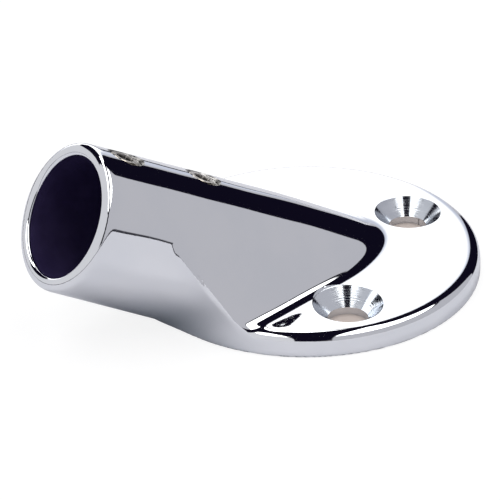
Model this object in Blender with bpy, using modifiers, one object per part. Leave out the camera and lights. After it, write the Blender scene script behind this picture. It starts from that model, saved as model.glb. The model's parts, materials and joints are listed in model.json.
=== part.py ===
"""Stanchion base: a round deck flange with a tubular socket leaning over its edge.

The casting is one piece: a round flange, an inclined socket with a blind bore, and a
fairing that carries the flange's rim up to the socket's sides. Three countersunk holes
take the deck screws, and two set screws in the socket's top clamp the rail tube.

Frame: metres, +Z up and away from the deck. The origin is the centre of the flange's
underside, the socket opens towards -X, and the part is symmetric about the XZ plane.
"""
import math

import bmesh
import bpy
from mathutils import Matrix, Vector

PART_NAME = "stanchion_base"
MM = 0.001

# Flange
FLANGE_RADIUS = 34.0 * MM
FLANGE_THICKNESS = 4.75 * MM
RIM_ROUNDING = 2.4 * MM

# Socket: a slightly tapered tube, thinnest at its mouth
SOCKET_ANGLE = math.radians(30.0)        # rise of the socket's axis above the deck
MOUTH_CENTRE = Vector((-51.7 * MM, 0.0, 26.4 * MM))
MOUTH_RADIUS = 13.85 * MM
SOCKET_DRAFT = 0.023                     # growth of the radius per unit of length
SOCKET_LENGTH = 80.0 * MM                # long enough to end inside the flange
LIP_ROUNDING = 1.2 * MM
BORE_RADIUS = 11.25 * MM                 # takes a 22.2 mm rail tube
BORE_DEPTH = 28.5 * MM
BORE_LIP = 0.5 * MM

# Fairing: two planes that touch the socket's sides and spread towards the deck
TANGENT_ANGLE = math.radians(60.0)       # from the socket's top line, about its axis
FRONT_LEAN = 0.27                        # outward lean of the fairing's front
FAIRING_TOP = 24.0 * MM
WEDGE_DEPTH = 40.0 * MM                  # deep enough to pass below the deck plane
UNDER_DECK_SIZE = 240.0 * MM             # wider than the whole part

# Deck screw holes, countersunk at 82 degrees for 1/4 in flat heads
HOLE_CIRCLE_RADIUS = 23.85 * MM
HOLE_BEARINGS = [math.radians(angle) for angle in (0.0, 103.0, -103.0)]
HOLE_RADIUS = 3.85 * MM
COUNTERSINK_RADIUS = 6.65 * MM
COUNTERSINK_HALF_ANGLE = math.radians(41.0)

# Set screws, M6 with a hexagon socket
SET_SCREW_STATIONS = {"set_screw_outer": 7.4 * MM, "set_screw_inner": 25.3 * MM}
SCREW_RADIUS = 2.95 * MM
SCREW_LENGTH = 4.0 * MM
SCREW_SINK = 0.35 * MM                   # how far the screw's top sits below the surface
SCREW_CHAMFER = 0.45 * MM
HEX_ACROSS_FLATS = 3.0 * MM
HEX_DEPTH = 2.0 * MM
CUP_RADIUS = 1.5 * MM
CUP_DEPTH = 0.6 * MM
RUNNING_GAP = 0.3 * MM
TAPPED_MOUTH_RADIUS = 3.8 * MM

# Facets
FLANGE_STEPS = 96
SOCKET_STEPS = 72
HOLE_STEPS = 32
SCREW_STEPS = 32
ROUNDING_STEPS = 4
OVERSHOOT = 2.0 * MM                     # how far a cutter runs past what it cuts

INTO_FLANGE = Vector((math.cos(SOCKET_ANGLE), 0.0, -math.sin(SOCKET_ANGLE)))
SOCKET_TOP = Vector((math.sin(SOCKET_ANGLE), 0.0, math.cos(SOCKET_ANGLE)))


def clear_scene():
    for obj in list(bpy.data.objects):
        bpy.data.objects.remove(obj, do_unlink=True)


def add_collection(name):
    collection = bpy.data.collections.new(name)
    bpy.context.scene.collection.children.link(collection)
    return collection


def add_material(name, colour, roughness, metallic):
    material = bpy.data.materials.new(name)
    material.use_nodes = True
    shader = material.node_tree.nodes["Principled BSDF"]
    shader.inputs["Base Color"].default_value = (*colour, 1.0)
    shader.inputs["Roughness"].default_value = roughness
    shader.inputs["Metallic"].default_value = metallic
    material.diffuse_color = (*colour, 1.0)
    return material


def add_object(name, mesh, collection):
    obj = bpy.data.objects.new(name, mesh)
    collection.objects.link(obj)
    return obj


def hide_helper(obj):
    """Mark an object as a cutter or an added volume, not a part."""
    obj.hide_render = True
    obj.display_type = "WIRE"
    return obj


def frame_along(origin, axis):
    """A placement whose local +Z is the given axis and whose local Y stays level."""
    z = axis.normalized()
    y = Vector((0.0, 1.0, 0.0))
    x = y.cross(z).normalized()
    return Matrix.Translation(origin) @ Matrix((x, y, z)).transposed().to_4x4()


def arc(centre, radius, start, end, steps=ROUNDING_STEPS):
    """Points of an arc in the profile plane, from one angle to another in degrees."""
    points = []
    for i in range(steps + 1):
        angle = math.radians(start + (end - start) * i / steps)
        points.append((centre[0] + radius * math.cos(angle), centre[1] + radius * math.sin(angle)))
    return points


def turned(name, profile, steps, collection, placement=None):
    """Spin a profile of (radius, height) points, given from the top down, about local Z."""
    mesh = bpy.data.meshes.new(name)
    points = [(radius, 0.0, height) for radius, height in profile]
    edges = [(i, i + 1) for i in range(len(points) - 1)]
    mesh.from_pydata(points, edges, [])
    obj = add_object(name, mesh, collection)
    if placement is not None:
        obj.matrix_world = placement
    spin = obj.modifiers.new("Spin", "SCREW")
    spin.axis = "Z"
    spin.angle = math.tau
    spin.steps = steps
    spin.render_steps = steps
    spin.use_merge_vertices = True
    spin.merge_threshold = 1e-7
    spin.use_smooth_shade = True
    return obj


def combine(target, other, operation):
    modifier = target.modifiers.new(other.name, "BOOLEAN")
    modifier.operation = operation
    modifier.solver = "EXACT"
    modifier.object = other


def socket_radius(station):
    """Outer radius of the socket at a distance from its mouth."""
    return MOUTH_RADIUS + SOCKET_DRAFT * station


def flange_blank(collection):
    """The flange, left thick below the deck plane until the underside is cut flat."""
    rim_centre = (FLANGE_RADIUS - RIM_ROUNDING, FLANGE_THICKNESS - RIM_ROUNDING)
    profile = [(0.0, FLANGE_THICKNESS)]
    profile += arc(rim_centre, RIM_ROUNDING, 90.0, 0.0)
    profile += [(FLANGE_RADIUS, -OVERSHOOT), (0.0, -OVERSHOOT)]
    return turned("casting", profile, FLANGE_STEPS, collection)


def socket_blank(collection):
    """The socket's outside, with local +Z pointing out of its mouth."""
    lip_centre = (MOUTH_RADIUS - LIP_ROUNDING, -LIP_ROUNDING)
    profile = [(0.0, 0.0)]
    profile += arc(lip_centre, LIP_ROUNDING, 90.0, 0.0)
    profile += [(socket_radius(SOCKET_LENGTH), -SOCKET_LENGTH), (0.0, -SOCKET_LENGTH)]
    placement = frame_along(MOUTH_CENTRE, -INTO_FLANGE)
    return hide_helper(turned("socket_blank", profile, SOCKET_STEPS, collection, placement))


def bore_cutter(collection):
    lip_centre = (BORE_RADIUS + BORE_LIP, -BORE_LIP)
    profile = [(0.0, OVERSHOOT), (BORE_RADIUS + BORE_LIP, OVERSHOOT)]
    profile += arc(lip_centre, BORE_LIP, 90.0, 180.0)
    profile += [(BORE_RADIUS, -BORE_DEPTH), (0.0, -BORE_DEPTH)]
    placement = frame_along(MOUTH_CENTRE, -INTO_FLANGE)
    return hide_helper(turned("bore_cutter", profile, SOCKET_STEPS, collection, placement))


def fairing_wedge(collection):
    """A long wedge under the socket, whose two sides touch the socket's draft."""
    spread = WEDGE_DEPTH / math.tan(TANGENT_ANGLE)
    bm = bmesh.new()
    bmesh.ops.create_cube(bm, size=2.0)
    for vertex in bm.verts:
        side, along, up = vertex.co
        station = SOCKET_LENGTH * (1.0 + along) / 2.0
        radius = socket_radius(station)
        half_width = radius * math.sin(TANGENT_ANGLE)
        height = radius * math.cos(TANGENT_ANGLE)
        if up < 0.0:
            half_width += spread
            height -= WEDGE_DEPTH
        centre = MOUTH_CENTRE + INTO_FLANGE * station + SOCKET_TOP * height
        vertex.co = centre + Vector((0.0, side * half_width, 0.0))
    bmesh.ops.recalc_face_normals(bm, faces=bm.faces)
    mesh = bpy.data.meshes.new("fairing_wedge")
    bm.to_mesh(mesh)
    bm.free()
    return hide_helper(add_object("fairing_wedge", mesh, collection))


def fairing_front(collection):
    """The rim's outline carried up to the socket, leaning out a little as it rises."""
    bottom = -OVERSHOOT
    profile = [
        (0.0, FAIRING_TOP),
        (FLANGE_RADIUS + FRONT_LEAN * (FAIRING_TOP - FLANGE_THICKNESS), FAIRING_TOP),
        (FLANGE_RADIUS, FLANGE_THICKNESS),
        (FLANGE_RADIUS, bottom),
        (0.0, bottom),
    ]
    return turned("fairing", profile, FLANGE_STEPS, collection)


def under_deck(collection):
    """Everything below the deck plane, which leaves the underside flat."""
    bm = bmesh.new()
    bmesh.ops.create_cube(bm, size=UNDER_DECK_SIZE)
    bmesh.ops.translate(bm, verts=bm.verts, vec=(0.0, 0.0, -UNDER_DECK_SIZE / 2.0))
    mesh = bpy.data.meshes.new("under_deck")
    bm.to_mesh(mesh)
    bm.free()
    return hide_helper(add_object("under_deck", mesh, collection))


def deck_screw_cutter(name, bearing, collection):
    """A clearance hole with a countersink open at the flange's top."""
    slope = math.tan(COUNTERSINK_HALF_ANGLE)
    cone_depth = (COUNTERSINK_RADIUS - HOLE_RADIUS) / slope
    top = FLANGE_THICKNESS + OVERSHOOT
    profile = [
        (0.0, top),
        (COUNTERSINK_RADIUS + OVERSHOOT * slope, top),
        (HOLE_RADIUS, FLANGE_THICKNESS - cone_depth),
        (HOLE_RADIUS, -OVERSHOOT),
        (0.0, -OVERSHOOT),
    ]
    place = Vector((math.cos(bearing), math.sin(bearing), 0.0)) * HOLE_CIRCLE_RADIUS
    placement = Matrix.Translation(place)
    return hide_helper(turned(name, profile, HOLE_STEPS, collection, placement))


def tapped_hole_cutter(name, station, collection):
    """A hole for a set screw through the socket's top wall, with a chamfered mouth."""
    surface = socket_radius(station)
    hole_radius = SCREW_RADIUS + RUNNING_GAP
    mouth_depth = TAPPED_MOUTH_RADIUS - hole_radius
    profile = [
        (0.0, surface + OVERSHOOT),
        (TAPPED_MOUTH_RADIUS + OVERSHOOT, surface + OVERSHOOT),
        (hole_radius, surface - mouth_depth),
        (hole_radius, BORE_RADIUS / 2.0),
        (0.0, BORE_RADIUS / 2.0),
    ]
    placement = frame_along(MOUTH_CENTRE + INTO_FLANGE * station, SOCKET_TOP)
    return hide_helper(turned(name, profile, HOLE_STEPS, collection, placement))


def build_casting(parts, helpers):
    casting = flange_blank(parts)
    fairing = fairing_front(helpers)
    combine(fairing, fairing_wedge(helpers), "INTERSECT")
    hide_helper(fairing)
    combine(casting, socket_blank(helpers), "UNION")
    combine(casting, fairing, "UNION")
    combine(casting, under_deck(helpers), "DIFFERENCE")
    combine(casting, bore_cutter(helpers), "DIFFERENCE")
    for i, bearing in enumerate(HOLE_BEARINGS, start=1):
        combine(casting, deck_screw_cutter(f"deck_screw_hole_{i}", bearing, helpers), "DIFFERENCE")
    for name, station in SET_SCREW_STATIONS.items():
        combine(casting, tapped_hole_cutter(f"{name}_hole", station, helpers), "DIFFERENCE")
    return casting


def hex_cutter(name, placement, collection):
    bm = bmesh.new()
    across_corners = HEX_ACROSS_FLATS / math.cos(math.pi / 6.0)
    bmesh.ops.create_cone(
        bm, cap_ends=True, segments=6, depth=2.0 * HEX_DEPTH,
        radius1=across_corners / 2.0, radius2=across_corners / 2.0,
    )
    mesh = bpy.data.meshes.new(name)
    bm.to_mesh(mesh)
    bm.free()
    cutter = add_object(name, mesh, collection)
    cutter.matrix_world = placement
    return hide_helper(cutter)


def build_set_screw(name, station, parts, helpers):
    """A headless screw with its origin at its top, on the tapped hole's axis."""
    top = MOUTH_CENTRE + INTO_FLANGE * station + SOCKET_TOP * (socket_radius(station) - SCREW_SINK)
    placement = frame_along(top, SOCKET_TOP)
    profile = [
        (0.0, 0.0),
        (SCREW_RADIUS - SCREW_CHAMFER, 0.0),
        (SCREW_RADIUS, -SCREW_CHAMFER),
        (SCREW_RADIUS, -SCREW_LENGTH + 2.0 * SCREW_CHAMFER),
        (CUP_RADIUS + SCREW_CHAMFER, -SCREW_LENGTH),
        (CUP_RADIUS, -SCREW_LENGTH),
        (0.0, -SCREW_LENGTH + CUP_DEPTH),
    ]
    screw = turned(name, profile, SCREW_STEPS, parts, placement)
    combine(screw, hex_cutter(f"{name}_hex", placement, helpers), "DIFFERENCE")
    return screw


def main():
    clear_scene()
    parts = add_collection(PART_NAME)
    helpers = add_collection("cutters")
    chrome = add_material("polished_chrome", (0.80, 0.81, 0.83), 0.06, 1.0)
    steel = add_material("stainless_steel", (0.58, 0.57, 0.54), 0.28, 1.0)
    casting = build_casting(parts, helpers)
    casting.data.materials.append(chrome)
    for name, station in SET_SCREW_STATIONS.items():
        screw = build_set_screw(name, station, parts, helpers)
        screw.data.materials.append(steel)


main()
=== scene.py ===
"""Looks of the stanchion base: the casting's finished surface, its set screws and a small studio.

The casting is drawn as a distance field, so that its fillets and roundings run into each other as
they do on a polished casting. The field's zero surface is meshed, and the bore and the holes are
then cut into it as a machinist would cut them.
"""
import itertools
import json
import math

import bpy
import numpy as np
from mathutils import Matrix, Vector


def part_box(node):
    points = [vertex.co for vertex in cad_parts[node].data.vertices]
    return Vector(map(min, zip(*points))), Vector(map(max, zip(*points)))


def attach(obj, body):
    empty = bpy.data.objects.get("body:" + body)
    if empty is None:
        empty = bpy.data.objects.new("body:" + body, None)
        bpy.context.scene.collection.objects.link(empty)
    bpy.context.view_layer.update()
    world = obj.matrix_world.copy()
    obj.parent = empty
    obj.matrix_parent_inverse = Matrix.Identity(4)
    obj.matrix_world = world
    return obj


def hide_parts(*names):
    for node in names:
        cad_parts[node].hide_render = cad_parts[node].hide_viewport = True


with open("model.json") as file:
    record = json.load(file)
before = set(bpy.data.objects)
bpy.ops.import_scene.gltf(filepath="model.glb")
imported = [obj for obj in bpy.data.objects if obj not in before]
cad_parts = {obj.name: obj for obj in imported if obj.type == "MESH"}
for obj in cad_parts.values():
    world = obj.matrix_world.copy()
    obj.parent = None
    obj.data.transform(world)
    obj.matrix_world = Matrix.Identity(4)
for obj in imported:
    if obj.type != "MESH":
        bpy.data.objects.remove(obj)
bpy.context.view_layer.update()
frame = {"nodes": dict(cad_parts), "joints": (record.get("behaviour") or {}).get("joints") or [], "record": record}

MM = 0.001

# ---------------------------------------------------------------- places from the frame
TUBE_STOP = next(mount for mount in frame["record"]["mounts"] if mount["name"] == "tube_stop")
OUT_OF_BORE = Vector(TUBE_STOP["axis"])
SOCKET_TOP = Vector(frame["joints"][0]["axis"])    # the way the socket's top line faces
BORE_DEPTH = 28.5 * MM
MOUTH = Vector(TUBE_STOP["pos_m"]) + OUT_OF_BORE * BORE_DEPTH
CASTING_LOW, CASTING_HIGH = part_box("casting")
FLANGE_RADIUS = CASTING_HIGH.x

# ---------------------------------------------------------------- the casting's own sizes
FLANGE_THICKNESS = 4.75 * MM
RIM_ROUNDING = 2.4 * MM
EDGE_ROUNDING = 1.0 * MM                 # where the rim meets the fairing
EDGE_END_ROUNDING = 1.5 * MM             # and where that edge runs out on the socket
EDGE_END_REACH = math.radians(90.0)      # from this bearing on it has EDGE_ROUNDING
DECK_EDGE_ROUNDING = 0.4 * MM
RIM_LEAN = 0.27                          # outward lean of the rim where it rises to the socket
LEAN_BLEND = 2.5 * MM                    # how softly that lean sets in

MOUTH_RADIUS = 13.85 * MM
SOCKET_DRAFT = 0.023                     # growth of the socket's radius per unit of length
LIP_ROUNDING = 1.3 * MM
TANGENT_ANGLE = math.radians(60.0)       # where the fairing leaves the socket, from its top line
TANGENT_BLEND = math.radians(8.0)        # over this turn the socket's curve fades into it
SIDE_FILLET = 5.0 * MM                   # between the fairing's sides and the flange's top
TOE_FILLET = 8.0 * MM                    # the same fillet where the socket's top line ends
TOE_START = 45.0 * MM                    # from this far down the socket its top line dips
TOE_DIP = 2.5 * MM                       # the dip's depth if it ran to twice that distance
UNDER_FILLET = 4.5 * MM                  # between the rim and the socket's underside
UNDER_FILLET_START = math.radians(68.0)  # it sets in from this bearing to the next
UNDER_FILLET_FULL = math.radians(100.0)
UNDER_FILLET_HEIGHT = 12.0 * MM          # where it has its full size
UNDER_FILLET_AT_DECK = 0.5               # its share of that at the deck
SOFTNESS = 1.6                           # length of a fillet's soft ends
NEARLY_PARALLEL = 0.9                    # largest cosine that a rounding reckons with
WAVE_HEIGHT = 0.009 * MM                 # of the waves that hand polishing leaves
WAVE_FADE = (0.3 * MM, 1.5 * MM)         # heights between which the waves set in

BORE_RADIUS = 11.25 * MM
BORE_LIP = 0.8 * MM
BORE_CORNER = 1.0 * MM

HOLE_CIRCLE_RADIUS = 23.85 * MM
HOLE_BEARINGS = [math.radians(angle) for angle in (0.0, 103.0, -103.0)]
HOLE_RADIUS = 3.85 * MM
COUNTERSINK_RADIUS = 6.65 * MM
COUNTERSINK_HALF_ANGLE = 41.0            # degrees
COUNTERSINK_LIP = 0.3 * MM
LIP_END = 105.0                          # degrees, where a countersink's rounded edge stops

# ---------------------------------------------------------------- threads and set screws
SET_SCREWS = {"set_screw_outer": "outer_screw", "set_screw_inner": "inner_screw"}
THREAD_PITCH = 1.0 * MM
THREAD_ROOT_SHARE = 0.2                  # of half a pitch, flat at the root
THREAD_FLANK_SHARE = 0.65                # and sloping
NUT_CREST = 3.05 * MM                    # the tapped hole's narrowest radius, clear of the screw
NUT_ROOT = 3.45 * MM
TAPPED_DEPTH = 5.0 * MM
TAPPED_MOUTH_RADIUS = 3.8 * MM
SCREW_RADIUS = 2.95 * MM
SCREW_ROOT = 2.42 * MM
SCREW_LENGTH = 4.0 * MM
SCREW_SINK = 0.35 * MM                   # how far a screw's top sits below the socket's surface
SCREW_CHAMFER = 0.45 * MM
HEX_ACROSS_FLATS = 3.0 * MM
HEX_DEPTH = 2.0 * MM
HEX_LEAD_IN = 0.2 * MM
CUP_RADIUS = 1.5 * MM
CUP_DEPTH = 0.6 * MM

# ---------------------------------------------------------------- fineness
GRID_STEP = 0.45 * MM
GRID_MARGIN = 2.3                        # cells around the box, so no grid plane is in a face
LEAST_STEEPNESS = 0.05                   # keeps a Newton step short where a field is level
CUT_STEPS = 160                          # facets round a bore or a countersink
THREAD_STEPS = 72                        # facets round a thread, a multiple of six
THREAD_ROWS = 10                         # rows of facets in one pitch
OVERSHOOT = 2.0 * MM                     # how far a cutter runs past what it cuts
SCREW_CREASE = math.radians(35.0)        # edges sharper than this are shaded as edges
CASTING_CREASE = math.radians(30.0)
FACING_DOWN = -0.98                      # upward part of a normal that points down

# The casting's surfaces. The bore's edge is plated like the outside, but keeps its own shading.
POLISHED, BORE, TURNED, THREAD, GROUND, BORE_EDGE = range(6)
# A set screw's surfaces.
SCREW_BODY, SCREW_DRIVE = range(2)


# ---------------------------------------------------------------- distance fields
def smooth_step(value, start, end):
    t = np.clip((value - start) / (end - start), 0.0, 1.0)
    return t * t * (3.0 - 2.0 * t)


def join(a, b, radius, cosine=0.0):
    """Union of two fields, with a fillet whose curvature sets in softly, as polishing leaves it.

    It takes off about as much as a ball of that radius. cosine: between the surfaces' normals.
    """
    reach = np.maximum(SOFTNESS * radius * (1.0 - cosine), 1e-9)
    overlap = np.maximum(1.0 - np.abs(a - b) / reach, 0.0)
    return np.minimum(a, b) - overlap ** 3 * reach / 6.0


def intersect(a, b, radius, cosine=0.0):
    """What lies inside both fields, with a rolling ball's rounding between them."""
    return -join(-a, -b, radius, cosine)


def polish_waves(points):
    """The long shallow waves that hand polishing leaves, as a height.

    Each runs along one axis and bends with the others. Its lengths are in millimetres.
    """
    x, y, z = points.T / MM
    waves = np.sin(x / 2.3 + 1.7 * np.sin(y / 5.1) + 0.4)
    waves += np.sin(y / 2.9 + 1.3 * np.sin(z / 3.7 + x / 6.1) + 2.1)
    waves += np.sin(z / 2.1 + 1.1 * np.sin(x / 4.3) + 4.0)
    return WAVE_HEIGHT * (3.0 + waves) * smooth_step(points[:, 2], *WAVE_FADE)


def casting_distance(points):
    """Distance to the casting's outside, before any hole is cut. Negative is metal."""
    x, y, z = points.T
    station = (points - np.array(MOUTH)) @ -np.array(OUT_OF_BORE)
    up = (points - np.array(MOUTH)) @ np.array(SOCKET_TOP)
    radius = np.hypot(up, y)
    bearing = np.arctan2(np.abs(y), up)
    towards_toe = np.maximum(station / TOE_START - 1.0, 0.0)
    socket_radius = MOUTH_RADIUS + SOCKET_DRAFT * station - TOE_DIP * towards_toe ** 2

    # The fairing: the socket's upper side, and below it the two planes that touch the socket.
    wrapped = join(bearing, TANGENT_ANGLE, TANGENT_BLEND)
    fairing = radius * np.cos(bearing - wrapped) - socket_radius
    above_flange = z - FLANGE_THICKNESS
    fillet = TOE_FILLET + (SIDE_FILLET - TOE_FILLET) * smooth_step(wrapped, 0.0, TANGENT_ANGLE)
    top = join(above_flange, fairing, fillet, np.cos(wrapped) * SOCKET_TOP.z)

    # The rim cuts off the flange and the fairing alike, with a smaller rounding on the fairing.
    from_axis = np.maximum(np.hypot(x, y), MM)
    rise = intersect(above_flange, 0.0, LEAN_BLEND)
    rim = from_axis - FLANGE_RADIUS - RIM_LEAN * rise
    outward = np.cos(wrapped) * SOCKET_TOP.x * x + np.sin(wrapped) * np.abs(y)
    on_fairing = smooth_step(above_flange - fairing, -RIM_ROUNDING, RIM_ROUNDING)
    edge = EDGE_END_ROUNDING + (EDGE_ROUNDING - EDGE_END_ROUNDING) * smooth_step(
        bearing, TANGENT_ANGLE, EDGE_END_REACH)
    rounding = RIM_ROUNDING + (edge - RIM_ROUNDING) * on_fairing
    cosine = np.clip(outward / from_axis * on_fairing, -NEARLY_PARALLEL, NEARLY_PARALLEL)
    flange = intersect(top, rim, rounding, cosine)

    socket = intersect(radius - socket_radius, -station, LIP_ROUNDING)
    under_fillet = UNDER_FILLET * smooth_step(bearing, UNDER_FILLET_START, UNDER_FILLET_FULL)
    under_fillet *= UNDER_FILLET_AT_DECK + (1.0 - UNDER_FILLET_AT_DECK) * smooth_step(
        z, 0.0, UNDER_FILLET_HEIGHT)
    under_fillet *= smooth_step(rim - top, -EDGE_ROUNDING, EDGE_ROUNDING)
    body = join(flange, socket, under_fillet)
    return intersect(body, -z, DECK_EDGE_ROUNDING) + polish_waves(points)


def gradient(field, points, reach=0.01 * MM):
    """Central differences of a field, a row for each point."""
    columns = []
    for axis in np.eye(3):
        ahead = field(points + reach * axis)
        behind = field(points - reach * axis)
        columns.append((ahead - behind) / (2.0 * reach))
    return np.stack(columns, axis=1)


def unit(vectors):
    return vectors / np.maximum(np.linalg.norm(vectors, axis=1, keepdims=True), 1e-12)


def pull_to_surface(field, points, rounds=4):
    """Newton steps that bring points onto the field's zero surface."""
    for _ in range(rounds):
        slope = gradient(field, points)
        steepness = np.maximum((slope ** 2).sum(axis=1), LEAST_STEEPNESS)
        points = points - slope * (field(points) / steepness)[:, None]
    return points


# ---------------------------------------------------------------- meshing a field
def sample_field(field, low, high, step):
    """The field on a grid that clears the box all round, and the grid's first corner."""
    margin = GRID_MARGIN * step
    start = np.array(low) - margin
    counts = np.ceil((np.array(high) + margin - start) / step).astype(int) + 1
    axes = [start[i] + step * np.arange(counts[i]) for i in range(3)]
    y, z = np.meshgrid(axes[1], axes[2], indexing="ij")
    values = np.empty(counts)
    for i, x in enumerate(axes[0]):
        points = np.stack([np.full(y.size, x), y.ravel(), z.ravel()], axis=1)
        values[i] = field(points).reshape(y.shape)
    return values, start


def cell_vertices(values, start, step):
    """A vertex in each cell that the zero surface crosses, and the cells' vertex numbers."""
    corners = list(itertools.product((0, 1), repeat=3))
    size = np.array(values.shape) - 1
    inside = values < 0.0
    views = [inside[i:i + size[0], j:j + size[1], k:k + size[2]] for i, j, k in corners]
    crossed = np.logical_or.reduce(views) & ~np.logical_and.reduce(views)
    cells = np.argwhere(crossed)
    number = np.full(crossed.shape, -1)
    number[crossed] = np.arange(len(cells))

    at_corner = np.stack([values[tuple((cells + corner).T)] for corner in corners], axis=1)
    total = np.zeros((len(cells), 3))
    count = np.zeros(len(cells))
    for (m, a), (n, b) in itertools.combinations(enumerate(corners), 2):
        if sum(p != q for p, q in zip(a, b)) != 1:
            continue
        first, second = at_corner[:, m], at_corner[:, n]
        cut = (first < 0.0) != (second < 0.0)
        share = first[cut] / (first[cut] - second[cut])
        total[cut] += np.array(a) + share[:, None] * (np.array(b) - np.array(a))
        count[cut] += 1.0
    return start + step * (cells + total / count[:, None]), number


def cell_quads(values, number):
    """A quad across each grid edge that the zero surface crosses, facing out."""
    inside = values < 0.0
    quads = []
    for axis in range(3):
        along = np.moveaxis(inside, axis, 0)
        edges = np.argwhere(np.moveaxis(along[:-1] != along[1:], 0, axis))
        corners = []
        for back_a, back_b in ((1, 1), (0, 1), (0, 0), (1, 0)):
            cell = edges.copy()
            cell[:, (axis + 1) % 3] -= back_a
            cell[:, (axis + 2) % 3] -= back_b
            corners.append(number[tuple(cell.T)])
        ring = np.stack(corners, axis=1)
        inward = ~inside[tuple(edges.T)]
        ring[inward] = ring[inward, ::-1]
        quads.append(ring)
    return np.concatenate(quads)


def relax(field, points, quads, rounds=2, share=0.6):
    """Even out the vertices along the surface."""
    edges = np.concatenate([quads[:, [i, (i + 1) % 4]] for i in range(4)])
    for _ in range(rounds):
        total = np.zeros_like(points)
        count = np.zeros(len(points))
        for near, far in ((0, 1), (1, 0)):
            np.add.at(total, edges[:, near], points[edges[:, far]])
            np.add.at(count, edges[:, near], 1.0)
        move = total / count[:, None] - points
        normal = unit(gradient(field, points))
        move -= normal * (move * normal).sum(axis=1, keepdims=True)
        points = pull_to_surface(field, points + share * move, rounds=1)
    return points


def mesh_of_field(field, low, high, step):
    values, start = sample_field(field, low, high, step)
    points, number = cell_vertices(values, start, step)
    quads = cell_quads(values, number)
    return relax(field, pull_to_surface(field, points), quads), quads


# ---------------------------------------------------------------- mesh helpers
def link(obj):
    bpy.context.scene.collection.objects.link(obj)
    return obj


def mesh_object(name, points, faces, materials):
    mesh = bpy.data.meshes.new(name)
    mesh.from_pydata([tuple(point) for point in points], [], [tuple(face) for face in faces])
    for material in materials:
        mesh.materials.append(material)
    return link(bpy.data.objects.new(name, mesh))


def frame_along(origin, axis):
    """A placement whose local +Z is the axis and whose local Y stays level."""
    z = axis.normalized()
    x = Vector((0.0, 1.0, 0.0)).cross(z).normalized()
    return Matrix.Translation(origin) @ Matrix((x, z.cross(x), z)).transposed().to_4x4()


def arc(radius, height, rounding, start, end, steps=8):
    """Rows (height, radius) along an arc, from one angle in degrees to another."""
    angles = np.radians(np.linspace(start, end, steps + 1))
    return [(height + rounding * math.sin(a), radius + rounding * math.cos(a)) for a in angles]


def round_solid(name, rows, steps, materials, surfaces, tips=(None, None)):
    """A closed solid about local Z, from its lowest row (height, radius) to its highest.

    A radius may be a function of the angle. surfaces is one material index, or one for each
    band and end from the bottom up. tips are the heights of the end faces' middles.
    """
    bottom = rows[0][0] if tips[0] is None else tips[0]
    top = rows[-1][0] if tips[1] is None else tips[1]
    if isinstance(surfaces, int):
        surfaces = [surfaces] * (len(rows) + 1)
    angles = [math.tau * i / steps for i in range(steps)]
    points = [(0.0, 0.0, bottom)]
    for height, radius in rows:
        for angle in angles:
            reach = radius(angle) if callable(radius) else radius
            points.append((reach * math.cos(angle), reach * math.sin(angle), height))
    points.append((0.0, 0.0, top))
    faces, indices = [], []
    for i in range(steps):
        j = (i + 1) % steps
        faces.append((0, 1 + j, 1 + i))
        for row in range(len(rows) - 1):
            low, high = 1 + row * steps, 1 + (row + 1) * steps
            faces.append((low + i, low + j, high + j, high + i))
        last = 1 + (len(rows) - 1) * steps
        faces.append((last + i, last + j, len(points) - 1))
        indices.extend(surfaces)
    obj = mesh_object(name, points, faces, materials)
    obj.data.polygons.foreach_set("material_index", indices)
    return obj


def cut(target, cutters):
    """Cut solids out of an object, and remove them."""
    for cutter in cutters:
        modifier = target.modifiers.new(cutter.name, "BOOLEAN")
        modifier.operation = "DIFFERENCE"
        modifier.solver = "EXACT"
        modifier.object = cutter
    bpy.context.view_layer.update()
    evaluated = target.evaluated_get(bpy.context.evaluated_depsgraph_get())
    mesh = bpy.data.meshes.new_from_object(evaluated)
    target.modifiers.clear()
    target.data = mesh
    for cutter in cutters:
        bpy.data.objects.remove(cutter)


# ---------------------------------------------------------------- threads and set screws
def thread_radius(height, angle, root, crest):
    """A thread with flat crests and roots, as a radius at a height and an angle."""
    phase = (height / THREAD_PITCH - angle / math.tau) % 1.0
    wave = 1.0 - abs(2.0 * phase - 1.0)
    share = (wave - THREAD_ROOT_SHARE) / THREAD_FLANK_SHARE
    return root + (crest - root) * min(max(share, 0.0), 1.0)


def even_heights(low, high):
    count = math.ceil((high - low) / THREAD_PITCH * THREAD_ROWS)
    return [low + (high - low) * i / count for i in range(count + 1)]


def socket_surface(station):
    """A point on the socket's top line, at a distance from its mouth."""
    radius = MOUTH_RADIUS + SOCKET_DRAFT * station
    return MOUTH - OUT_OF_BORE * station + SOCKET_TOP * radius


def screw_station(node):
    """How far a set screw's axis is from the mouth, measured along the socket."""
    vertices = frame["nodes"][node].data.vertices
    middle = sum((vertex.co for vertex in vertices), Vector()) / len(vertices)
    return (MOUTH - middle).dot(OUT_OF_BORE)


def tapped_hole_cutter(station, materials):
    """The hole's core and grooves, with a chamfered mouth. Local z is 0 at the surface."""
    rows = []
    for height in even_heights(-TAPPED_DEPTH, OVERSHOOT):
        mouth = TAPPED_MOUTH_RADIUS + height
        rows.append((height, lambda angle, height=height, mouth=mouth: max(
            thread_radius(height, angle, NUT_CREST, NUT_ROOT), mouth)))
    cutter = round_solid("tapped_hole", rows, THREAD_STEPS, materials, THREAD)
    cutter.matrix_world = frame_along(socket_surface(station), SOCKET_TOP)
    return cutter


def hexagon(angle):
    """Radius of the hexagon socket's outline at an angle."""
    from_flat = (angle % (math.pi / 3.0)) - math.pi / 6.0
    return 0.5 * HEX_ACROSS_FLATS / math.cos(from_flat)


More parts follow.
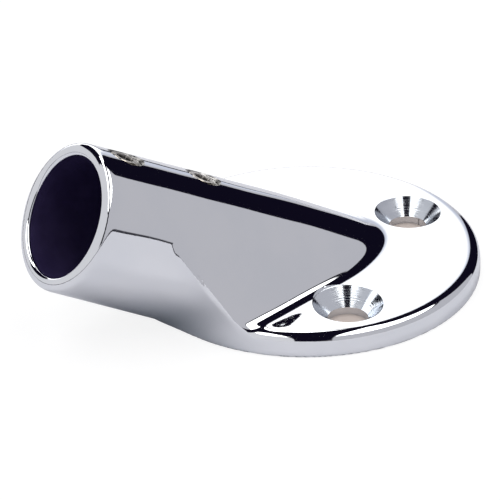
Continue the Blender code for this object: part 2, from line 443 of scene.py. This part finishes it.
def hex_cutter(materials):
    """The screw's hexagon socket, with a drilled tip and a lead-in. Local z is 0 at the top."""
    corner = hexagon(0.0)
    rows = [
        (-HEX_DEPTH, hexagon),
        (-HEX_LEAD_IN, hexagon),
        (0.0, lambda angle: max(hexagon(angle), corner)),
        (OVERSHOOT, lambda angle: corner + OVERSHOOT),
    ]
    drill_point = -HEX_DEPTH - corner / 2.0
    tips = (drill_point, None)
    return round_solid("hex_socket", rows, THREAD_STEPS, materials, SCREW_DRIVE, tips)


def build_set_screw(node, body, materials):
    """A headless cup-point screw, with its top at local z 0."""
    rows = [(-SCREW_LENGTH, CUP_RADIUS)]
    for height in even_heights(-SCREW_LENGTH, 0.0):
        top_chamfer = SCREW_RADIUS - SCREW_CHAMFER - height
        tip_chamfer = CUP_RADIUS + SCREW_CHAMFER + SCREW_LENGTH + height
        limit = min(top_chamfer, tip_chamfer)
        rows.append((height, lambda angle, height=height, limit=limit: min(
            thread_radius(height, angle, SCREW_ROOT, SCREW_RADIUS), limit)))
    tips = (-SCREW_LENGTH + CUP_DEPTH, None)
    name = node.replace("set_screw", "threaded_screw")
    screw = round_solid(name, rows, THREAD_STEPS, materials, SCREW_BODY, tips)
    cut(screw, [hex_cutter(materials)])
    screw.data.shade_smooth()
    screw.data.set_sharp_from_angle(angle=SCREW_CREASE)
    top = socket_surface(screw_station(node)) - SOCKET_TOP * SCREW_SINK
    screw.data.transform(frame_along(top, SOCKET_TOP))
    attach(screw, body)
    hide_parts(node)
    return screw


# ---------------------------------------------------------------- the casting
def bore_cutter(materials):
    rows = arc(BORE_RADIUS - BORE_CORNER, BORE_CORNER - BORE_DEPTH, BORE_CORNER, -90.0, 0.0)
    surfaces = [BORE] * (len(rows) + 1)
    mouth = arc(BORE_RADIUS + BORE_LIP, -BORE_LIP, BORE_LIP, 180.0, 90.0)
    surfaces += [BORE_EDGE] * (len(mouth) - 1)
    rows += mouth + [(OVERSHOOT, BORE_RADIUS + BORE_LIP)]
    surfaces += [BORE] * 2
    cutter = round_solid("bore", rows, CUT_STEPS, materials, surfaces)
    cutter.matrix_world = frame_along(MOUTH, OUT_OF_BORE)
    return cutter


def countersink_cutter(bearing, materials):
    """A clearance hole and its countersink, whose edge is broken by a small rounding."""
    half_angle = math.radians(COUNTERSINK_HALF_ANGLE)
    slope = math.tan(half_angle)
    depth = (COUNTERSINK_RADIUS - HOLE_RADIUS) / slope
    lip_radius = COUNTERSINK_RADIUS + COUNTERSINK_LIP * (1.0 / math.cos(half_angle) - slope)
    lip_height = FLANGE_THICKNESS - COUNTERSINK_LIP
    rows = [(-OVERSHOOT, HOLE_RADIUS), (FLANGE_THICKNESS - depth, HOLE_RADIUS)]
    rows += arc(lip_radius, lip_height, COUNTERSINK_LIP, 180.0 - COUNTERSINK_HALF_ANGLE, LIP_END)
    rows.append((FLANGE_THICKNESS + OVERSHOOT, rows[-1][1] + OVERSHOOT * slope))
    cutter = round_solid("countersink", rows, CUT_STEPS, materials, TURNED)
    cutter.matrix_world = Matrix.Rotation(bearing, 4, "Z") @ Matrix.Translation(
        (HOLE_CIRCLE_RADIUS, 0.0, 0.0))
    return cutter


def mark_ground_face(mesh):
    """The underside is ground flat, not polished."""
    for polygon in mesh.polygons:
        low = polygon.center.z < DECK_EDGE_ROUNDING / 4.0 and polygon.normal.z < FACING_DOWN
        if polygon.material_index == POLISHED and low:
            polygon.material_index = GROUND


def read_values(items, attribute, width, kind=float):
    """An attribute of a mesh's items as an array, a row for each where it is a vector."""
    values = np.empty(len(items) * width, kind)
    items.foreach_get(attribute, values)
    return values.reshape(-1, width) if width > 1 else values


def shade_by_field(mesh, field):
    """Give the cast faces the field's own normals, and leave the cut faces as they are."""
    mesh.shade_smooth()
    mesh.set_sharp_from_angle(angle=CASTING_CREASE)
    normals = read_values(mesh.corner_normals, "vector", 3)
    vertex = read_values(mesh.loops, "vertex_index", 1, int)
    surface = read_values(mesh.polygons, "material_index", 1, int)
    corners = read_values(mesh.polygons, "loop_total", 1, int)
    field_normals = unit(gradient(field, read_values(mesh.vertices, "co", 3)))
    cast = np.repeat(np.isin(surface, (POLISHED, GROUND)), corners)
    normals[cast] = field_normals[vertex[cast]]
    mesh.normals_split_custom_set(normals)


def build_casting(materials):
    points, quads = mesh_of_field(casting_distance, CASTING_LOW, CASTING_HIGH, GRID_STEP)
    casting = mesh_object("casting_finished", points, quads, materials)
    cutters = [bore_cutter(materials)]
    cutters += [countersink_cutter(bearing, materials) for bearing in HOLE_BEARINGS]
    cutters += [tapped_hole_cutter(screw_station(node), materials) for node in SET_SCREWS]
    cut(casting, cutters)
    mark_ground_face(casting.data)
    shade_by_field(casting.data, casting_distance)
    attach(casting, "base")
    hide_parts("casting")
    return casting


# ---------------------------------------------------------------- shader helpers
# A pattern's scale is its number of waves in a metre, so at 1000 a wave is a millimetre long.
TONE_SCALE = 90.0
TONE_RANGE = (0.35, 0.65)


def add_node(tree, kind, inputs=None, **settings):
    """Add a shader node. inputs maps socket names or numbers to values or to other sockets."""
    made = tree.nodes.new(kind)
    for name, value in settings.items():
        setattr(made, name, value)
    for name, value in (inputs or {}).items():
        if isinstance(value, bpy.types.NodeSocket):
            tree.links.new(value, made.inputs[name])
        else:
            made.inputs[name].default_value = value
    return made


def ramp(tree, value, start, end, low=0.0, high=1.0):
    inputs = {"Value": value, "From Min": start, "From Max": end, "To Min": low, "To Max": high}
    return add_node(tree, "ShaderNodeMapRange", inputs, interpolation_type="SMOOTHSTEP").outputs[0]


def math_node(tree, operation, a, b):
    return add_node(tree, "ShaderNodeMath", {0: a, 1: b}, operation=operation).outputs[0]


def dot(tree, vector, direction):
    inputs = {0: vector, 1: direction}
    return add_node(tree, "ShaderNodeVectorMath", inputs, operation="DOT_PRODUCT").outputs["Value"]


def layer(tree, below, above, factor):
    """One colour over another."""
    inputs = {"Factor": factor, 6: below, 7: above}
    return add_node(tree, "ShaderNodeMix", inputs, data_type="RGBA").outputs[2]


def noise(tree, vector, scale, detail=2.0, roughness=0.5):
    inputs = {"Vector": vector, "Scale": scale, "Detail": detail, "Roughness": roughness}
    return add_node(tree, "ShaderNodeTexNoise", inputs).outputs["Fac"]


def metal(name, light, dark):
    """A metal whose colour wanders between two tones. Returns what its detail is built on."""
    material = bpy.data.materials.new(name)
    material.use_nodes = True
    tree = material.node_tree
    shader = tree.nodes["Principled BSDF"]
    place = add_node(tree, "ShaderNodeTexCoord").outputs["Object"]
    tone = ramp(tree, noise(tree, place, TONE_SCALE, detail=3.0), *TONE_RANGE)
    tree.links.new(layer(tree, (*light, 1.0), (*dark, 1.0), tone), shader.inputs["Base Color"])
    shader.inputs["Metallic"].default_value = 1.0
    return material, tree, shader, place


def vary_roughness(tree, shader, pattern, span, smooth, rough):
    """Roughness that follows a pattern, from smooth to rough over a span of its values."""
    tree.links.new(ramp(tree, pattern, *span, smooth, rough), shader.inputs["Roughness"])


def add_bump(tree, shader, height, distance):
    inputs = {"Height": height, "Distance": distance}
    bump = add_node(tree, "ShaderNodeBump", inputs)
    tree.links.new(bump.outputs["Normal"], shader.inputs["Normal"])


def rings(tree, place, direction, scale, detail=2.0):
    """Tool marks: a value that changes only along one direction."""
    along = dot(tree, place, tuple(direction))
    inputs = {"W": along, "Scale": scale, "Detail": detail}
    return add_node(tree, "ShaderNodeTexNoise", inputs, noise_dimensions="1D").outputs["Fac"]


def grain(tree, place, stretch, detail=3.0):
    """Noise with its own scale along each axis, drawn out where that is low."""
    stretched = add_node(tree, "ShaderNodeVectorMath", {0: place, 1: stretch}, operation="MULTIPLY")
    return noise(tree, stretched.outputs[0], scale=1.0, detail=detail, roughness=0.6)


def hairlines(tree, place, stretch, width):
    """Thin lines where a stretched noise passes its middle value, as 0 or 1."""
    from_middle = math_node(tree, "SUBTRACT", grain(tree, place, stretch, detail=1.0), 0.5)
    distance = add_node(tree, "ShaderNodeMath", {0: from_middle}, operation="ABSOLUTE").outputs[0]
    return ramp(tree, distance, 0.0, width, low=1.0, high=0.0)


# ---------------------------------------------------------------- materials
HAIRLINE_ROUGHNESS = 0.10                # added where a hairline runs
BORE_METALLIC = 0.6
BORE_ROUGHNESS = 0.42


def polished_chrome():
    """Bright plating, with buffing haze, a few hairlines and faint polishing ripples."""
    material, tree, shader, place = metal(
        "polished_chrome", light=(0.80, 0.81, 0.83), dark=(0.775, 0.79, 0.815))
    cloud = noise(tree, place, scale=260.0, detail=6.0, roughness=0.7)
    haze = ramp(tree, cloud, 0.45, 0.8, low=0.015, high=0.05)
    across = hairlines(tree, place, stretch=(90.0, 900.0, 500.0), width=0.004)
    along = hairlines(tree, place, stretch=(700.0, 110.0, 350.0), width=0.004)
    lines = math_node(tree, "MAXIMUM", across, along)
    worn = math_node(tree, "MULTIPLY", lines, HAIRLINE_ROUGHNESS)
    tree.links.new(math_node(tree, "ADD", haze, worn), shader.inputs["Roughness"])
    ripples = grain(tree, place, stretch=(1300.0, 2600.0, 1300.0))
    add_bump(tree, shader, ripples, 0.0012 * MM)
    return material


def bore_metal():
    """The reamed bore: unplated and dark, with the reamer's rings."""
    material, tree, shader, place = metal(
        "bore_metal", light=(0.075, 0.056, 0.165), dark=(0.045, 0.032, 0.11))
    shader.inputs["Metallic"].default_value = BORE_METALLIC
    shader.inputs["Roughness"].default_value = BORE_ROUGHNESS
    add_bump(tree, shader, rings(tree, place, OUT_OF_BORE, scale=3000.0), 0.02 * MM)
    return material


def turned_chrome():
    """Plated countersinks, in which the cutter's rings still show."""
    material, tree, shader, place = metal(
        "turned_chrome", light=(0.72, 0.75, 0.79), dark=(0.52, 0.55, 0.60))
    marks = rings(tree, place, (0.0, 0.0, 1.0), scale=5200.0)
    vary_roughness(tree, shader, marks, (0.35, 0.7), smooth=0.07, rough=0.22)
    add_bump(tree, shader, marks, 0.012 * MM)
    return material


def thread_metal():
    """The tapped holes: plated thinly, darker in patches."""
    material, tree, shader, place = metal(
        "thread_metal", light=(0.46, 0.45, 0.44), dark=(0.22, 0.215, 0.21))
    chatter = noise(tree, place, scale=4200.0, detail=3.0)
    vary_roughness(tree, shader, chatter, (0.3, 0.75), smooth=0.2, rough=0.42)
    add_bump(tree, shader, chatter, 0.012 * MM)
    return material


def ground_metal():
    """The deck face: ground flat on a belt, with straight grain."""
    material, tree, shader, place = metal(
        "ground_metal", light=(0.56, 0.56, 0.57), dark=(0.43, 0.43, 0.44))
    lines = grain(tree, place, stretch=(70.0, 5200.0, 70.0), detail=5.0)
    vary_roughness(tree, shader, lines, (0.35, 0.7), smooth=0.24, rough=0.44)
    add_bump(tree, shader, lines, 0.012 * MM)
    return material


def screw_steel():
    """Plain stainless, warmer than the chrome, with lathe rings and a stain here and there."""
    material, tree, shader, place = metal(
        "screw_steel", light=(0.66, 0.63, 0.58), dark=(0.46, 0.42, 0.36))
    stain = noise(tree, place, scale=700.0, detail=4.0, roughness=0.65)
    vary_roughness(tree, shader, stain, (0.4, 0.75), smooth=0.14, rough=0.38)
    add_bump(tree, shader, rings(tree, place, SOCKET_TOP, scale=7000.0), 0.01 * MM)
    return material


def socket_steel():
    """The hexagon socket: broached, with marks that run down its walls."""
    material, tree, shader, place = metal(
        "socket_steel", light=(0.34, 0.32, 0.30), dark=(0.16, 0.15, 0.14))
    broached = grain(tree, place, stretch=(3200.0, 6000.0, 400.0))
    vary_roughness(tree, shader, broached, (0.3, 0.75), smooth=0.24, rough=0.5)
    add_bump(tree, shader, broached, 0.01 * MM)
    return material


# ---------------------------------------------------------------- studio
# An edge is (normal, offset, softness). A ray from the middle of the room is past the edge where
# its dot product with the normal is more than the offset.
def sine(degrees):
    return math.sin(math.radians(degrees))


def left_of(azimuth, tilt=0.0, soft=0.5):
    """Counter-clockwise from an upright edge. A tilted edge leans the same way as it rises."""
    a, t = math.radians(azimuth), math.radians(tilt)
    normal = (-math.sin(a) * math.cos(t), math.cos(a) * math.cos(t), -math.sin(t))
    return normal, 0.0, sine(soft)


def right_of(azimuth, tilt=0.0, soft=0.5):
    normal, offset, softness = left_of(azimuth, tilt, soft)
    return tuple(-c for c in normal), offset, softness


def above(elevation, soft=0.5):
    return (0.0, 0.0, 1.0), sine(elevation), sine(soft)


def below(elevation, soft=0.5):
    return (0.0, 0.0, -1.0), -sine(elevation), sine(soft)


def within(azimuth, half_width, soft=0.5):
    """Both edges of a strip that runs up from the horizon and over the middle of the room."""
    side, _, softness = left_of(azimuth, 0.0, soft)
    other_side = tuple(-c for c in side)
    return (side, -sine(half_width), softness), (other_side, -sine(half_width), softness)


GREY = (0.56, 0.557, 0.597, 1.0)
LAVENDER = (0.65, 0.68, 0.79, 1.0)
PALE = (0.76, 0.76, 0.79, 1.0)
WHITE = (1.6, 1.6, 1.6, 1.0)
LIGHT = (3.0, 3.0, 3.0, 1.0)             # the soft light overhead
BLACK = (0.005, 0.004, 0.012, 1.0)
# painted shadow at the foot of the walls
WALL_FOOT_SHADOW = (0.05, 0.05, 0.06, 1.0)
TOWARDS_CAMERA_SIDE = ((0.0, -0.88, 0.47), 0.0, 0.03)   # an edge that leans over the middle

# The room: pale, with each wall, light or card laid over those before it. Left, right and far
# are as seen over the photo's camera, and azimuths are degrees counter-clockwise from +X.
ROOM = (
    # the right wall, from behind the camera to the far side
    (GREY, (left_of(-118.0), right_of(45.0))),
    # the far wall, and the bright panel that fills most of it
    (LAVENDER, (left_of(45.0), right_of(100.0, soft=2.0))),
    (WHITE, (left_of(50.0, soft=3.0), right_of(100.0, soft=2.0), above(1.5, soft=2.5))),
    # a dark card high on the far wall, reaching to its left
    (BLACK, (left_of(73.0), right_of(129.0), above(17.0), below(49.8))),
    # the soft light overhead, in its dark frame
    (BLACK, (above(47.2),)),
    (LIGHT, (above(49.8),)),
    # a leaning dark card on the right, in front of the light
    (BLACK, (left_of(5.0, 12.0), right_of(41.0, 10.0), above(-3.0, soft=2.0), below(61.0))),
    # a dark strip behind the camera
    (BLACK, (*within(-118.0, 11.0), TOWARDS_CAMERA_SIDE, above(3.0, soft=1.0))),
    # painted shadow along the foot of the walls, below the horizon, past the floor's edge
    (WALL_FOOT_SHADOW, (below(-2.5),)),
)

CAMERA_EYE = Vector((-184.07, -299.83, 206.6)) * MM
CAMERA_AIM = Vector((-8.98, 6.9, 2.66)) * MM
CAMERA_ROLL = math.radians(-1.403)
LENS = 148.665                           # millimetres, as is the sensor
SENSOR_WIDTH = 36.0
NEAREST_SEEN = 10.0 * MM

FLOOR_RADIUS = 300.0 * MM
FLOOR_STEPS = 128
FLOOR_GAP = 0.03 * MM                    # the floor lies this far below the deck face
FLOOR_WHITE = (0.97, 0.97, 0.97, 1.0)
FLOOR_GLOW = 0.8                         # share of the paper's white that no shadow dims
GLOW_STRENGTH = 1.05
# painted shadow: the paper under the flange, in a warm tan shade, seen through the screw holes
PAINTED_SHADOW_UNDER_FLANGE = (0.515, 0.445, 0.409, 1.0)   # seen through the screw holes
FLOOR_IN_METAL = (0.70, 0.70, 0.735, 1.0)
SHADE_IN_METAL = (0.40, 0.43, 0.47, 1.0)
SHADE_REACH = 32.0 * MM                  # from the object to where its shade ends
SHADE_RANGE = (0.12, 0.6)                # of open sky, from full shade to none


def camera_switch(tree, seen, otherwise, output):
    """What the camera sees directly, and what lights and is reflected."""
    camera_ray = add_node(tree, "ShaderNodeLightPath").outputs["Is Camera Ray"]
    inputs = {0: camera_ray, 1: otherwise, 2: seen}
    add_node(tree, output, {"Surface": add_node(tree, "ShaderNodeMixShader", inputs).outputs[0]})


def add_world():
    world = bpy.data.worlds.new("studio")
    bpy.context.scene.world = world
    world.use_nodes = True
    tree = world.node_tree
    tree.nodes.clear()
    ray = add_node(tree, "ShaderNodeTexCoord").outputs["Generated"]
    colour = PALE
    for card_colour, edges in ROOM:
        cover = 1.0
        for normal, offset, soft in edges:
            beyond = ramp(tree, dot(tree, ray, normal), offset - soft, offset + soft)
            cover = math_node(tree, "MULTIPLY", cover, beyond)
        colour = layer(tree, colour, card_colour, cover)
    room = add_node(tree, "ShaderNodeBackground", {"Color": colour})
    backdrop = add_node(tree, "ShaderNodeBackground", {"Color": (1.0, 1.0, 1.0, 1.0)})
    camera_switch(tree, backdrop.outputs[0], room.outputs[0], "ShaderNodeOutputWorld")


def paper():
    """Pale paper with painted shade. In the metal it shows darker, as it lies in the object's shade, and under the
    flange it is painted with the flange's shadow.
    """
    material = bpy.data.materials.new("paper")
    material.use_nodes = True
    tree = material.node_tree
    tree.nodes.clear()
    open_sky = add_node(tree, "ShaderNodeAmbientOcclusion", {"Distance": SHADE_REACH}).outputs["AO"]
    place = add_node(tree, "ShaderNodeTexCoord").outputs["Object"]
    from_axis = add_node(tree, "ShaderNodeVectorMath", {0: place}, operation="LENGTH")
    # where the painted shadow under the flange ends, at the rim
    outside_painted_shadow = ramp(tree, from_axis.outputs["Value"], FLANGE_RADIUS - RIM_ROUNDING, FLANGE_RADIUS)
    # painted shade: the paper seen in the metal darkens towards SHADE_IN_METAL where the object occludes it
    painted_shade_around = layer(tree, SHADE_IN_METAL, FLOOR_IN_METAL, ramp(tree, open_sky, *SHADE_RANGE))
    shaded = add_node(tree, "ShaderNodeBsdfDiffuse",
                      {"Color": layer(tree, PAINTED_SHADOW_UNDER_FLANGE, painted_shade_around, outside_painted_shadow)})
    sheet = add_node(tree, "ShaderNodeBsdfDiffuse",
                     {"Color": layer(tree, PAINTED_SHADOW_UNDER_FLANGE, FLOOR_WHITE, outside_painted_shadow)})
    glow = add_node(tree, "ShaderNodeEmission", {"Strength": GLOW_STRENGTH})
    glow_share = math_node(tree, "MULTIPLY", outside_painted_shadow, FLOOR_GLOW)
    seen = add_node(tree, "ShaderNodeMixShader",
                    {0: glow_share, 1: sheet.outputs[0], 2: glow.outputs[0]})
    camera_switch(tree, seen.outputs[0], shaded.outputs[0], "ShaderNodeOutputMaterial")
    return material


def add_floor():
    """A round sheet of paper just below the deck face."""
    angles = [math.tau * i / FLOOR_STEPS for i in range(FLOOR_STEPS)]
    edge = [(FLOOR_RADIUS * math.cos(a), FLOOR_RADIUS * math.sin(a), 0.0) for a in angles]
    floor = mesh_object("floor", edge, [range(FLOOR_STEPS)], [paper()])
    floor.location.z = -FLOOR_GAP


def add_camera():
    camera = bpy.data.cameras.new("camera")
    camera.lens = LENS
    camera.sensor_width = SENSOR_WIDTH
    camera.clip_start = NEAREST_SEEN
    obj = link(bpy.data.objects.new("camera", camera))
    turn = (CAMERA_AIM - CAMERA_EYE).to_track_quat("-Z", "Y").to_matrix().to_4x4()
    roll = Matrix.Rotation(CAMERA_ROLL, 4, "Z")
    obj.matrix_world = Matrix.Translation(CAMERA_EYE) @ turn @ roll
    bpy.context.scene.camera = obj


# ---------------------------------------------------------------- the whole scene
add_camera()
add_world()
add_floor()
bpy.context.scene.view_settings.view_transform = "Standard"

chrome = polished_chrome()
build_casting([chrome, bore_metal(), turned_chrome(), thread_metal(), ground_metal(), chrome])
steels = [screw_steel(), socket_steel()]
for cad_node, body_name in SET_SCREWS.items():
    build_set_screw(cad_node, body_name, steels)
